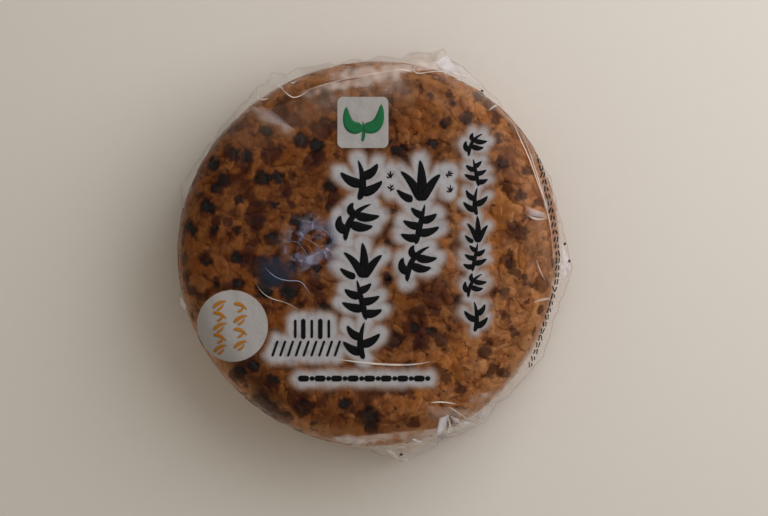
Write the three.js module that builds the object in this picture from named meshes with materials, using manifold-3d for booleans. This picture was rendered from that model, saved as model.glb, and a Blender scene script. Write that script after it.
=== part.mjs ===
// A round grilled rice ball in a clear film pack.
// Cooked rice is pressed into a thick disc and browned, and a tube of thin film is drawn
// tight over it. On top the film lies on the grains. Round the sides it spans from the
// disc's shoulder down to a loose, pleated rim with pointed corners, and underneath its
// two ends and its seam are folded flat, which is what the pack lies on.
// Millimetres, +Z up. The origin is the middle of the flat folds underneath, and +Y is
// the end of the pack that lies away from the reader of its front.
import * as THREE from "three";
import { mergeVertices } from "three/addons/utils/BufferGeometryUtils.js";
import Module from "manifold-3d";

// The rice disc
const RICE_RADIUS = 40;
const RICE_THICKNESS = 28;
const SHOULDER_RADIUS = 8;
const RICE_BULGE = 0.7; // how far the disc is out of round, towards the upper right
const BULGE_ANGLE = 45;

// The folded film underneath
const FOLD_THICKNESS = 0.6;
const BASE_RADIUS = 33;
const SEAM_WIDTH = 13;
const SEAM_LENGTH = 58;
const END_FOLD_ROOT = 44; // width of an end fold where it comes under the rim
const END_FOLD_TIP = 18;
const END_FOLD_REACH = 30; // from the middle of the base to the end fold's root
const END_FOLD_LENGTH = 23;
const FUSE_DEPTH = 0.4; // how far a fold reaches into the disc, so that they join

// The loose rim of the film: its corners, each with its angle from +X, its reach from
// the middle and its height over the table
const RIM_CORNERS = [
  { angle: -32, reach: 44.4, height: 5.0 },
  { angle: -5, reach: 44.2, height: 8.5 },
  { angle: 22, reach: 42.2, height: 12.0 },
  { angle: 50, reach: 43.0, height: 8.0 },
  { angle: 70, reach: 46.6, height: 10.5 },
  { angle: 95, reach: 41.6, height: 13.0 },
  { angle: 119, reach: 44.4, height: 7.0 },
  { angle: 140, reach: 42.2, height: 10.0 },
  { angle: 161, reach: 43.6, height: 8.0 },
  { angle: 179, reach: 41.4, height: 13.0 },
  { angle: 196, reach: 43.2, height: 6.0 },
  { angle: 222, reach: 41.4, height: 13.0 },
  { angle: 249, reach: 42.4, height: 9.0 },
  { angle: 279, reach: 47.0, height: 4.0 },
  { angle: 304, reach: 45.2, height: 4.5 },
];
const RIM_CLEARANCE = 0.9; // least space between the rim and the rice
const FILM_LEAVES_AT = 66; // degrees down the shoulder where the film leaves the rice
const PLEAT_STEP = 3.7; // degrees from a pleat's crest to its valley
const PLEAT_DEPTH_SIDES = 0.35;
const PLEAT_DEPTH_ENDS = 1.5;
const PLEAT_UNEVEN = 0.85; // share of a pleat's depth and place left to chance
const PLEAT_SEED = 7;
const SHOULDER_ROWS = 2; // rows of facets round the shoulder, as far as the film rests
const FILM_ROWS = 3; // and from there to the rim
const HEEL_INSET = 0.42; // share of the way in from the rim to the base
const HEEL_HEIGHT = 0.24; // share of the rim's height left there

// The rice grains that show under the film
const GRAIN_COUNT = 252;
const GRAIN_LENGTH = 6.7;
const GRAIN_WIDTH = 3.3;
const GRAIN_DEPTH = 2.9;
const GRAIN_PROUD = 0.95;
const GRAIN_UNEVEN = 0.3; // a grain lies this much higher or lower than that
const GRAIN_SIZE_SPREAD = 0.14;
const GRAIN_SIDES = 6;
const GRAIN_ROWS = 3;
const GOLDEN_ANGLE = Math.PI * (3 - Math.sqrt(5));
const GRAIN_SEED = 41;

const TOP_HEIGHT = FOLD_THICKNESS + RICE_THICKNESS;
const FULL_TURN = 360;

const radians = (degrees) => (degrees * Math.PI) / 180;

const wasm = await Module();
wasm.setup();

// A repeatable source of numbers from 0 to 1
function seededRandom(seed) {
  let state = seed;
  return () => {
    state = (Math.imul(state, 1664525) + 1013904223) >>> 0;
    return state / 2 ** 32;
  };
}

// The rice disc's radius in one direction
function riceRadius(angle) {
  return RICE_RADIUS + RICE_BULGE * Math.cos(angle - radians(BULGE_ANGLE));
}

// A point on the disc's shoulder, and the way it faces. tilt is 0 at the flat top.
function shoulderPoint(angle, tilt) {
  const radius = riceRadius(angle) - SHOULDER_RADIUS * (1 - Math.sin(tilt));
  return new THREE.Vector3(
    radius * Math.cos(angle),
    radius * Math.sin(angle),
    TOP_HEIGHT - SHOULDER_RADIUS * (1 - Math.cos(tilt)),
  );
}

function shoulderNormal(angle, tilt) {
  return new THREE.Vector3(
    Math.sin(tilt) * Math.cos(angle),
    Math.sin(tilt) * Math.sin(angle),
    Math.cos(tilt),
  );
}

// The rim in plan: straight runs from corner to corner, gathered into uneven pleats
function rimPoints() {
  const random = seededRandom(PLEAT_SEED);
  const corner = ({ reach, angle }) =>
    new THREE.Vector2(reach * Math.cos(radians(angle)), reach * Math.sin(radians(angle)));
  const points = [];
  RIM_CORNERS.forEach((start, i) => {
    const end = RIM_CORNERS[(i + 1) % RIM_CORNERS.length];
    const span = (end.angle - start.angle + FULL_TURN) % FULL_TURN;
    const steps = 2 * Math.max(2, Math.round(span / PLEAT_STEP / 2));
    for (let step = 0; step < steps; step++) {
      const shift = step ? (random() - 0.5) * PLEAT_UNEVEN : 0;
      const share = (step + shift) / steps;
      const place = corner(start).lerp(corner(end), share);
      const angle = Math.atan2(place.y, place.x);
      const atEnds = Math.sin(angle) ** 2;
      const depth = THREE.MathUtils.lerp(PLEAT_DEPTH_SIDES, PLEAT_DEPTH_ENDS, atEnds);
      const valley = step % 2 ? depth * (1 - PLEAT_UNEVEN * random()) : 0;
      points.push({
        angle,
        reach: Math.max(place.length() - valley, riceRadius(angle) + RIM_CLEARANCE),
        height: THREE.MathUtils.lerp(start.height, end.height, share),
      });
    }
  });
  return points;
}

// A point at this angle, radius and height
function polarPoint(angle, radius, height) {
  return new THREE.Vector3(radius * Math.cos(angle), radius * Math.sin(angle), height);
}

// The disc in its film, as rings of points from the middle of the top to the middle of
// the base
function filmBody() {
  const rim = rimPoints();
  const leaves = radians(FILM_LEAVES_AT);
  const rings = [];
  const addRing = (pointAt) => rings.push(rim.map(pointAt));

  for (let row = 0; row < SHOULDER_ROWS; row++) {
    addRing(({ angle }) => shoulderPoint(angle, (leaves * row) / SHOULDER_ROWS));
  }
  for (let row = 0; row <= FILM_ROWS; row++) {
    addRing(({ angle, reach, height }) =>
      shoulderPoint(angle, leaves).lerp(polarPoint(angle, reach, height), row / FILM_ROWS),
    );
  }
  addRing(({ angle, reach, height }) =>
    polarPoint(
      angle,
      THREE.MathUtils.lerp(reach, BASE_RADIUS, HEEL_INSET),
      THREE.MathUtils.lerp(FOLD_THICKNESS, height, HEEL_HEIGHT),
    ),
  );
  addRing(({ angle }) => polarPoint(angle, BASE_RADIUS, FOLD_THICKNESS));

  const places = [0, 0, TOP_HEIGHT];
  rings.forEach((ring) => ring.forEach((p) => places.push(p.x, p.y, p.z)));
  const baseMiddle = places.length / 3;
  places.push(0, 0, FOLD_THICKNESS);

  const around = rim.length;
  const at = (ring, i) => 1 + ring * around + (i % around);
  const faces = [];
  for (let i = 0; i < around; i++) {
    faces.push(0, at(0, i), at(0, i + 1));
    for (let ring = 0; ring + 1 < rings.length; ring++) {
      faces.push(at(ring, i), at(ring + 1, i), at(ring + 1, i + 1));
      faces.push(at(ring, i), at(ring + 1, i + 1), at(ring, i + 1));
    }
    faces.push(at(rings.length - 1, i), baseMiddle, at(rings.length - 1, i + 1));
  }
  const body = new THREE.BufferGeometry();
  body.setAttribute("position", new THREE.Float32BufferAttribute(places, 3));
  body.setIndex(faces);
  return body;
}

// A flat fold of film under the disc: an outline, from the table up into the disc
function fold(outline) {
  return new THREE.ExtrudeGeometry(new THREE.Shape(outline), {
    depth: FOLD_THICKNESS + FUSE_DEPTH,
    bevelEnabled: false,
  });
}

function folds() {
  const seam = fold([
    new THREE.Vector2(-SEAM_WIDTH / 2, -SEAM_LENGTH / 2),
    new THREE.Vector2(SEAM_WIDTH / 2, -SEAM_LENGTH / 2),
    new THREE.Vector2(SEAM_WIDTH / 2, SEAM_LENGTH / 2),
    new THREE.Vector2(-SEAM_WIDTH / 2, SEAM_LENGTH / 2),
  ]);
  const ends = [0, Math.PI].map((turn) =>
    fold([
      new THREE.Vector2(-END_FOLD_ROOT / 2, -END_FOLD_REACH),
      new THREE.Vector2(END_FOLD_ROOT / 2, -END_FOLD_REACH),
      new THREE.Vector2(END_FOLD_TIP / 2, END_FOLD_LENGTH - END_FOLD_REACH),
      new THREE.Vector2(-END_FOLD_TIP / 2, END_FOLD_LENGTH - END_FOLD_REACH),
    ]).rotateZ(turn),
  );
  return [seam, ...ends];
}

// Where the grain at this share of the covered area lies: on the flat top or down the
// shoulder, as far as the film rests on the rice
function tiltAndRadius(share) {
  const flat = RICE_RADIUS - SHOULDER_RADIUS;
  const leaves = radians(FILM_LEAVES_AT);
  const flatArea = Math.PI * flat ** 2;
  const shoulderArea = (tilt) =>
    2 * Math.PI * SHOULDER_RADIUS * (flat * tilt + SHOULDER_RADIUS * (1 - Math.cos(tilt)));
  const area = share * (flatArea + shoulderArea(leaves));
  if (area < flatArea) {
    return { tilt: 0, inward: 1 - Math.sqrt(area / flatArea) };
  }
  let low = 0;
  let high = leaves;
  while (high - low > 1e-4) {
    const middle = (low + high) / 2;
    if (shoulderArea(middle) < area - flatArea) {
      low = middle;
    } else {
      high = middle;
    }
  }
  return { tilt: low, inward: 0 };
}

// One pressed grain: a blunt six-sided rod with pointed ends and a flat side up
function grain(index, random) {
  const { tilt, inward } = tiltAndRadius((index + 0.5) / GRAIN_COUNT);
  const angle = index * GOLDEN_ANGLE;
  const up = shoulderNormal(angle, tilt);
  const place = shoulderPoint(angle, tilt);
  place.x *= 1 - inward;
  place.y *= 1 - inward;
  const across = new THREE.Vector3(-Math.sin(angle), Math.cos(angle), 0);
  const along = across.applyAxisAngle(up, random() * Math.PI);
  const side = new THREE.Vector3().crossVectors(along, up);
  const size = 1 + (random() * 2 - 1) * GRAIN_SIZE_SPREAD;
  const proud = GRAIN_PROUD + (random() * 2 - 1) * GRAIN_UNEVEN;
  place.addScaledVector(up, proud - GRAIN_DEPTH / 2);
  const shape = new THREE.SphereGeometry(0.5, GRAIN_SIDES, GRAIN_ROWS);
  const frame = new THREE.Matrix4().makeBasis(
    side.multiplyScalar(GRAIN_WIDTH * size),
    along.multiplyScalar(GRAIN_LENGTH * size),
    up.multiplyScalar(GRAIN_DEPTH),
  );
  return shape.applyMatrix4(frame.setPosition(place));
}

function solid(geometry) {
  geometry.deleteAttribute("normal");
  geometry.deleteAttribute("uv");
  const merged = mergeVertices(geometry, 1e-4);
  return new wasm.Manifold(
    new wasm.Mesh({
      numProp: 3,
      vertProperties: merged.attributes.position.array,
      triVerts: new Uint32Array(merged.index.array),
    }),
  );
}

function geometryOf(manifold) {
  const mesh = manifold.getMesh();
  const geometry = new THREE.BufferGeometry();
  geometry.setAttribute("position", new THREE.BufferAttribute(mesh.vertProperties, 3));
  geometry.setIndex(new THREE.BufferAttribute(mesh.triVerts, 1));
  geometry.computeVertexNormals();
  return geometry;
}

function wrappedRiceBall() {
  const random = seededRandom(GRAIN_SEED);
  let joined = solid(filmBody());
  for (const piece of folds()) joined = joined.add(solid(piece));
  for (let index = 0; index < GRAIN_COUNT; index++) {
    joined = joined.add(solid(grain(index, random)));
  }
  return geometryOf(joined);
}

const brownedRice = new THREE.MeshStandardMaterial({
  color: new THREE.Color(0.47, 0.3, 0.17),
  roughness: 0.35,
  metalness: 0,
});

const pack = new THREE.Group();
const riceBall = new THREE.Mesh(wrappedRiceBall(), brownedRice);
riceBall.name = "wrapped_rice_ball";
pack.add(riceBall);

export default pack;
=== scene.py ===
# %% [markdown]
# A round grilled rice ball in a clear film bag, seen from straight above.
# Three things make its look, and each is a step of its own here. The rice is a pressed disc
# of real grains in a brown glaze. The film is one closed bag that lies on the grains on top
# and stands away from them round the sides. The print is ink on the film: soft pale fields
# with plain black, orange and green marks on them.

# %% Load the frame
import math
import bpy
import numpy as np
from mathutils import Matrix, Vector, kdtree, noise


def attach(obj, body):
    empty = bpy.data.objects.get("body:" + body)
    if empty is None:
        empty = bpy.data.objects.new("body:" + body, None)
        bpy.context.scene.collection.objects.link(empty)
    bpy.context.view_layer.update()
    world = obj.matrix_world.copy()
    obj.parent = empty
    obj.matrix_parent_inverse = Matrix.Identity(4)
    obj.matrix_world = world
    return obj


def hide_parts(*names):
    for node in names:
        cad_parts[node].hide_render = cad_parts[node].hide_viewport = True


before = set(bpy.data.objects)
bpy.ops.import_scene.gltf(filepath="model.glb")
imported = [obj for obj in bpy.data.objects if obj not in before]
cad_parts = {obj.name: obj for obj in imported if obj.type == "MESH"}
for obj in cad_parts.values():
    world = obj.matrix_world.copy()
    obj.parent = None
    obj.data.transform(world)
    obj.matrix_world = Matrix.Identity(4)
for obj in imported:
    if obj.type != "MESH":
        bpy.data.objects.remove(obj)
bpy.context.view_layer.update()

# %% [markdown]
# The rim and the folds have the same sizes here as in the solid. The rice follows the photo
# more closely, and is up to about 1 mm wider. It is a disc with round shoulders, and a
# hand-shaped disc isn't quite round. A few slow waves round its edge give that: each has how
# often it swells in a turn, by how many millimetres, and at what angle from +X. The film
# leaves the rice on the shoulder and comes down to a loose rim. Each of the rim's corners is
# an angle, a reach from the middle and a height in millimetres.

# %% Sizes
MM = 0.001
RICE_RADIUS = 40.7 * MM
RICE_THICKNESS = 28 * MM
SHOULDER_RADIUS = 8 * MM
RICE_BULGES = [(1, 0.6, -86), (2, 0.33, 59), (3, 0.4, 49)]
FOLD_THICKNESS = 0.6 * MM
BASE_RADIUS = 33 * MM
TOP_HEIGHT = FOLD_THICKNESS + RICE_THICKNESS
MID_HEIGHT = FOLD_THICKNESS + RICE_THICKNESS / 2
RIM_CORNERS = [
    (-32, 44.4, 5.0), (-5, 44.2, 8.5), (22, 42.2, 12.0), (50, 43.0, 8.0), (70, 46.6, 10.5),
    (95, 41.6, 13.0), (119, 44.4, 7.0), (140, 42.2, 10.0), (161, 43.6, 8.0), (179, 41.4, 13.0),
    (196, 43.2, 6.0), (222, 41.4, 13.0), (249, 42.4, 9.0), (279, 47.0, 4.0), (304, 45.2, 4.5),
]
RIM_CLEARANCE = 0.9 * MM
FILM_LEAVES_AT = math.radians(66)
PLEAT_STEP = 3.7
PLEAT_DEPTH_SIDES = 0.35 * MM
PLEAT_DEPTH_ENDS = 1.5 * MM
PLEAT_UNEVEN = 0.85
PLEAT_SEED = 7
HEEL_INSET = 0.42
HEEL_HEIGHT = 0.24
FULL_TURN = 2 * math.pi
GOLDEN_ANGLE = math.pi * (3 - math.sqrt(5))


def rice_radius(angle):
    """The rice disc's radius in one direction."""
    waves = [size * MM * np.cos(times * (angle - math.radians(at)))
             for times, size, at in RICE_BULGES]
    return RICE_RADIUS + sum(waves)


def smooth(value, start, end):
    """0 before start, 1 after end, and an even curve between them."""
    share = np.clip((value - start) / (end - start), 0, 1)
    return share * share * (3 - 2 * share)


# %% [markdown]
# Shader maths is easier to read as sums than as nodes. Wire holds one output socket, so that
# 1 - mask or a * b adds the Math node that it stands for. Finish holds a material, and its
# node method adds any other node from its type, its settings and its sockets.

# %% Shader helpers
def connect(tree, place, value):
    """Links a wire to an input socket, or sets a plain value on it."""
    if isinstance(value, Wire):
        tree.links.new(value.socket, place)
    else:
        place.default_value = value


class Wire:
    """An output socket that can be used in sums."""

    def __init__(self, tree, socket):
        self.tree = tree
        self.socket = socket

    def math(self, operation, first, second):
        node = self.tree.nodes.new("ShaderNodeMath")
        node.operation = operation
        connect(self.tree, node.inputs[0], first)
        connect(self.tree, node.inputs[1], second)
        return Wire(self.tree, node.outputs[0])

    def __add__(self, other):
        return self.math("ADD", self, other)

    def __sub__(self, other):
        return self.math("SUBTRACT", self, other)

    def __rsub__(self, other):
        return self.math("SUBTRACT", other, self)

    def __mul__(self, other):
        return self.math("MULTIPLY", self, other)

    def __truediv__(self, other):
        return self.math("DIVIDE", self, other)

    __radd__ = __add__
    __rmul__ = __mul__

    def least(self, other):
        return self.math("MINIMUM", self, other)

    def most(self, other):
        return self.math("MAXIMUM", self, other)


class Finish:
    """A material whose nodes are added by one method."""

    def __init__(self, name):
        self.material = bpy.data.materials.new(name)
        self.material.use_nodes = True
        self.tree = self.material.node_tree
        self.tree.nodes.clear()

    def node(self, kind, sockets, output=0, **settings):
        node = self.tree.nodes.new("ShaderNode" + kind)
        for name, value in settings.items():
            setattr(node, name, value)
        for key, value in sockets.items():
            connect(self.tree, node.inputs[key], value)
        return Wire(self.tree, node.outputs[output] if node.outputs else None)

    def place(self):
        return self.node("TexCoord", {}, output="Object")

    def attribute(self, name):
        return self.node("Attribute", {}, output="Fac", attribute_name=name)

    def vector(self, operation, first, second=(0, 0, 0), output=0):
        return self.node("VectorMath", {0: first, 1: second}, output, operation=operation)

    def axis(self, place, index):
        return self.node("SeparateXYZ", {0: place}, output=index)

    def noise(self, place, size, detail=2.0, output="Fac"):
        """Cloudy noise from 0 to 1, whose blobs are about this many metres wide."""
        sockets = {"Vector": place, "Scale": 1 / size, "Detail": detail}
        return self.node("TexNoise", sockets, output=output)

    def cells(self, place, size):
        """How far each place is from the middle of its round cell, and the cell's own number."""
        sockets = {"Vector": place, "Scale": 1 / size}
        away = self.node("TexVoronoi", sockets, output="Distance")
        colour = self.node("TexVoronoi", sockets, output="Color")
        return away, self.node("SeparateColor", {0: colour})

    def ramp(self, value, start, end):
        """0 before start, 1 after end, and an even curve between them."""
        sockets = {"Value": value, "From Min": start, "From Max": end}
        return self.node("MapRange", sockets, interpolation_type="SMOOTHSTEP")

    def mix(self, share, first, second):
        """A colour that goes from first to second as share goes from 0 to 1."""
        first, second = ((*c, 1.0) if isinstance(c, tuple) else c for c in (first, second))
        return self.node("Mix", {0: share, 6: first, 7: second}, output=2, data_type="RGBA")

    def bump(self, height, strength, distance):
        return self.node("Bump", {"Height": height, "Strength": strength, "Distance": distance})

    def surface(self, sockets):
        """The Principled shader with these sockets, as the material's surface."""
        shader = self.node("BsdfPrincipled", sockets)
        self.node("OutputMaterial", {"Surface": shader})
        return self.material


# %% [markdown]
# Every new piece is handed over in the same way: it rides on the one body, it takes its finish as its one
# material, and it stands for the solid.

# %% Piece helpers
def start_piece():
    """Leaves nothing selected, so that the next operator acts on the new piece alone."""
    bpy.ops.object.select_all(action="DESELECT")


def hand_over(piece, name, finish):
    """Names a finished piece, gives it its material and ties it to the frame."""
    piece.name = name
    piece.data.name = name
    piece.data.materials.clear()
    piece.data.materials.append(finish)
    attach(piece, "root")
    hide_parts("wrapped_rice_ball")
    corners = [max(c[i] for c in piece.bound_box) - min(c[i] for c in piece.bound_box)
               for i in range(3)]
    triangles = sum(len(face.vertices) - 2 for face in piece.data.polygons)
    print(f"{name}: {triangles} triangles, {[round(side / MM, 1) for side in corners]} mm")


def places_of(mesh):
    """A mesh's points as an array with one row for each point."""
    flat = np.empty(len(mesh.vertices) * 3)
    mesh.vertices.foreach_get("co", flat)
    return flat.reshape(-1, 3)


def move_to(mesh, places):
    mesh.vertices.foreach_set("co", np.ascontiguousarray(places, dtype=np.float64).ravel())
    mesh.update()


def write_attribute(mesh, name, values):
    """Gives each point of the mesh a number that a material can read."""
    attribute = mesh.attributes.new(name, "FLOAT", "POINT")
    attribute.data.foreach_set("value", np.asarray(values, dtype=np.float64))


def field_of_noise(places, size, seed):
    """Cloudy noise from about -1 to 1 at each place, with blobs about this wide."""
    shift = Vector((seed * 17.3, seed * 5.1, seed * 9.7))
    return np.array([noise.noise(Vector(place) / size + shift) for place in places])


def copies_as_piece(name, copies, faces_of_one):
    """Joins copies of one small shape, an array of points for each copy, into one piece."""
    count = copies.shape[1]
    faces = [
        tuple(corner + copy * count for corner in face)
        for copy in range(len(copies)) for face in faces_of_one
    ]
    mesh = bpy.data.meshes.new(name)
    mesh.from_pydata(copies.reshape(-1, 3).tolist(), [], faces)
    mesh.polygons.foreach_set("use_smooth", [True] * len(mesh.polygons))
    piece = bpy.data.objects.new(name, mesh)
    bpy.context.collection.objects.link(piece)
    return piece


# %% [markdown]
# Under the grains lies a plain core, which shows only as the dark brown between them. That brown is glaze,
# darkened further as painted shade. It could be a squashed sphere, but a pressed rice ball has a flat top
# and straight sides, so a cylinder with bevelled edges is closer. Its surface then swells and sinks a
# little, as pressed rice does.

# %% Rice core
CORE_DEPTH = -0.08 * MM
CORE_SIDES = 128
CORE_UNEVEN = 0.3 * MM
CORE_CLOUD = 7 * MM

start_piece()
bpy.ops.mesh.primitive_cylinder_add(
    vertices=CORE_SIDES,
    radius=RICE_RADIUS - CORE_DEPTH,
    depth=RICE_THICKNESS - 2 * CORE_DEPTH,
    end_fill_type="TRIFAN",
)
core = bpy.context.object
bevel = core.modifiers.new("shoulder", "BEVEL")
bevel.width = SHOULDER_RADIUS - CORE_DEPTH
bevel.segments = 7
bevel.angle_limit = math.radians(50)
bpy.ops.object.modifier_apply(modifier=bevel.name)
bpy.ops.object.mode_set(mode="EDIT")
bpy.ops.mesh.select_all(action="SELECT")
bpy.ops.mesh.subdivide(number_cuts=3)
bpy.ops.object.mode_set(mode="OBJECT")

places = places_of(core.data)
bulge = rice_radius(np.arctan2(places[:, 1], places[:, 0])) / RICE_RADIUS
places[:, :2] *= bulge[:, None]
outward = places / np.linalg.norm(places, axis=1)[:, None]
places += outward * (field_of_noise(places, CORE_CLOUD, 1) * CORE_UNEVEN)[:, None]
places[:, 2] += MID_HEIGHT
move_to(core.data, places)
bpy.ops.object.shade_smooth()
print("core points:", len(core.data.vertices))

# %% [markdown]
# One cooked grain is modelled, and the ball is covered with copies of it at their real size.
# A sphere is stretched into a grain, and the ring next to each tip is spread, because a
# cooked grain is blunter than an egg. It has few faces, as it is copied so often.

# %% One grain of rice
GRAIN_LENGTH = 5.8 * MM
GRAIN_WIDTH = 2.35 * MM
GRAIN_THICKNESS = 1.7 * MM
GRAIN_SIDES = 10
GRAIN_RINGS = 6
TIP_SPREAD = 1.22

start_piece()
bpy.ops.mesh.primitive_uv_sphere_add(segments=GRAIN_SIDES, ring_count=GRAIN_RINGS, radius=0.5)
grain = bpy.context.object
for vertex in grain.data.vertices:
    vertex.select = 0.3 < abs(vertex.co.z) < 0.49
bpy.ops.object.mode_set(mode="EDIT")
bpy.ops.transform.resize(value=(TIP_SPREAD, TIP_SPREAD, 1))
bpy.ops.mesh.select_all(action="SELECT")
bpy.ops.transform.resize(value=(GRAIN_WIDTH, GRAIN_THICKNESS, GRAIN_LENGTH))
bpy.ops.object.mode_set(mode="OBJECT")
grain_places = places_of(grain.data)
grain_faces = [tuple(face.vertices) for face in grain.data.polygons]
bpy.data.objects.remove(grain)
print("faces in a grain:", len(grain_faces))

# %% [markdown]
# The grains have to cover the ball evenly, but not in rows. Sunflower seeds show how: each
# next one turns by the golden angle and moves on by the same share of the area. So the
# ball's outline is walked from the top's middle to the base's middle, and the area up to
# each step says where a grain goes.

# %% Where the grains lie
GRAIN_COUNT = 2100
GRAIN_SEED = 5
OUTLINE_STEPS = 60
flat_radius = RICE_RADIUS - SHOULDER_RADIUS
half_side = RICE_THICKNESS / 2 - SHOULDER_RADIUS

quarter = np.linspace(0, math.pi / 2, OUTLINE_STEPS)
inward = np.linspace(0, flat_radius, OUTLINE_STEPS)
outline = np.concatenate([
    np.stack([inward, np.full(OUTLINE_STEPS, half_side + SHOULDER_RADIUS), inward * 0], 1),
    np.stack([flat_radius + SHOULDER_RADIUS * np.sin(quarter),
              half_side + SHOULDER_RADIUS * np.cos(quarter), quarter], 1),
])
below = outline[::-1] * (1, -1, -1) + (0, 0, math.pi)
outline = np.concatenate([outline, below])
steps = np.linalg.norm(np.diff(outline[:, :2], axis=0), axis=1)
band_areas = steps * (outline[1:, 0] + outline[:-1, 0]) * math.pi
area_so_far = np.concatenate([[0], np.cumsum(band_areas)])

draw = np.random.default_rng(GRAIN_SEED)
index = np.arange(GRAIN_COUNT)
area = (index + 0.5) / GRAIN_COUNT * area_so_far[-1]
grain_angle = index * GOLDEN_ANGLE + draw.normal(0, 0.012, GRAIN_COUNT)
grain_radius, grain_height, grain_tilt = (
    np.interp(area, area_so_far, outline[:, column]) for column in range(3)
)
print("area of the ball in square centimetres:", round(area_so_far[-1] * 1e4, 1))

# %% [markdown]
# The film presses the outer grains flat, which gives the top its look of tiles in glaze.
# A rounded disc has a simple formula for the distance from its surface. Where a point of a grain would stand
# out further than the film allows, it is pushed back along that way. What is left of the distance is stored
# too, so that the material can paint shade into the gaps and painted highlights at their rims.

# %% Lay and press the grains
GRAIN_PROUD = 0.62 * MM
PROUD_SPREAD = 0.22 * MM
PRESSED_LEVEL = 0.38 * MM
PRESSED_SPREAD = 0.2 * MM
GRAIN_LEAN = 0.14
SIZE_SPREAD = 0.13
GAP_DEPTH = 0.75 * MM


def above_rice(points):
    """How far points stand out of the rounded disc, and which way that is."""
    angle = np.arctan2(points[..., 1], points[..., 0])
    radius = np.hypot(points[..., 0], points[..., 1]) * RICE_RADIUS / rice_radius(angle)
    height = points[..., 2] - MID_HEIGHT
    past_flat = np.maximum(radius - flat_radius, 0)
    past_side = np.maximum(np.abs(height) - half_side, 0)
    away = np.maximum(np.hypot(past_flat, past_side), 1e-9)
    outward = np.stack([past_flat / away * np.cos(angle), past_flat / away * np.sin(angle),
                        past_side / away * np.sign(height)], -1)
    return away - SHOULDER_RADIUS, outward


def row(values):
    return values[:, None]


swell = rice_radius(grain_angle) / RICE_RADIUS
up = np.stack([np.sin(grain_tilt) * np.cos(grain_angle),
               np.sin(grain_tilt) * np.sin(grain_angle), np.cos(grain_tilt)], 1)
across = np.stack([-np.sin(grain_angle), np.cos(grain_angle), grain_angle * 0], 1)
down = np.cross(up, across)
turn = draw.uniform(0, math.pi, GRAIN_COUNT)
along = across * row(np.cos(turn)) + down * row(np.sin(turn))
along += up * row(draw.normal(0, GRAIN_LEAN, GRAIN_COUNT))
along /= np.linalg.norm(along, axis=1)[:, None]
side = np.cross(along, up)
side /= np.linalg.norm(side, axis=1)[:, None]
face_up = np.cross(side, along)
size = row(1 + draw.normal(0, SIZE_SPREAD, GRAIN_COUNT))
sunk = GRAIN_PROUD - GRAIN_THICKNESS / 2 + draw.normal(0, PROUD_SPREAD, GRAIN_COUNT)
middle = np.stack([grain_radius * swell * np.cos(grain_angle),
                   grain_radius * swell * np.sin(grain_angle),
                   grain_height + MID_HEIGHT], 1) + up * row(sunk)

points = (
    middle[:, None]
    + grain_places[None, :, 0, None] * (side * size)[:, None]
    + grain_places[None, :, 1, None] * (face_up * size)[:, None]
    + grain_places[None, :, 2, None] * (along * size)[:, None]
)
level = PRESSED_LEVEL - PRESSED_SPREAD * draw.random(GRAIN_COUNT) ** 2
stands_out, outward = above_rice(points)
too_far = np.maximum(stands_out - row(level), 0)
points -= outward * too_far[..., None]
stands_out = stands_out - too_far

grains = copies_as_piece("rice_grains", points, grain_faces)
tone = np.repeat(draw.random(GRAIN_COUNT), len(grain_places))
gap = np.clip((row(level) - stands_out) / GAP_DEPTH, 0, 1).ravel()
write_attribute(grains.data, "tone", tone)
write_attribute(grains.data, "gap", gap)
print("grains:", GRAIN_COUNT, "highest point in mm:", round(points[..., 2].max() / MM, 2))

# %% [markdown]
# Rice browned with soy sauce is a patchwork: tan where a grain is plump, amber where the glaze is thick,
# red-brown in the gaps and nearly black where the hot plate scorched it. The gaps also get painted shade,
# darker the deeper they are. Each grain has a tone of its own. Large soft clouds mix in amber and dark
# glaze. The left is browner and darker all over, and so is a round patch right of the middle and below it:
# partly more scorching, partly painted shade. Thin light lines are painted highlights on the edges of grains
# and on curled grains, and the shoulder is painted lighter at the bottom and the top, as painted light.
# Small round cells from a Voronoi texture give the scattered scorch marks, which are fainter on the right.
# The largest marks are placed one by one, from the middle of the ball in millimetres, with their radius.

# %% Rice finish
TAN = (0.49, 0.205, 0.072)
BROWN = (0.24, 0.074, 0.017)
AMBER = (0.38, 0.118, 0.011)
# Painted highlight colour, for grain edges, curled grains and the lit shoulder
HIGHLIGHT_TAN = (0.53, 0.245, 0.098)
GLAZE_DARK = (0.095, 0.020, 0.003)
# Glaze between the grains, with painted shade in the gaps
GAP_GLAZE_AND_SHADE = (0.13, 0.032, 0.005)
# Darkening of the left side, partly painted shade and partly more scorching
SHADE_AND_SCORCH_SIDE = (0.53, 0.43, 0.24)
DARK_FULL = -6 * MM
DARK_GONE = 30 * MM
DARK_DIP = (9 * MM, -14 * MM, 0)
DIP_STRENGTH = 14 * MM
# Where the shoulder is painted lighter, as painted light
LIGHT_SHOULDER = (25.6 * MM, 28.3 * MM)
LIGHT_BOTTOM = (-24 * MM, 4 * MM)
LIGHT_TOP = (26 * MM, 33 * MM)
LIGHT_TOP_SHARE = 0.6
SCORCH_RED = (0.032, 0.003, 0.001)
CHAR = (0.009, 0.010, 0.009)
CHAR_RIM = (0.004, 0.001, 0.001)
SPOT_CELL = 4.6 * MM
SPECK_CELL = 2.0 * MM
SPOT_UNEVEN = 1.4 * MM
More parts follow.
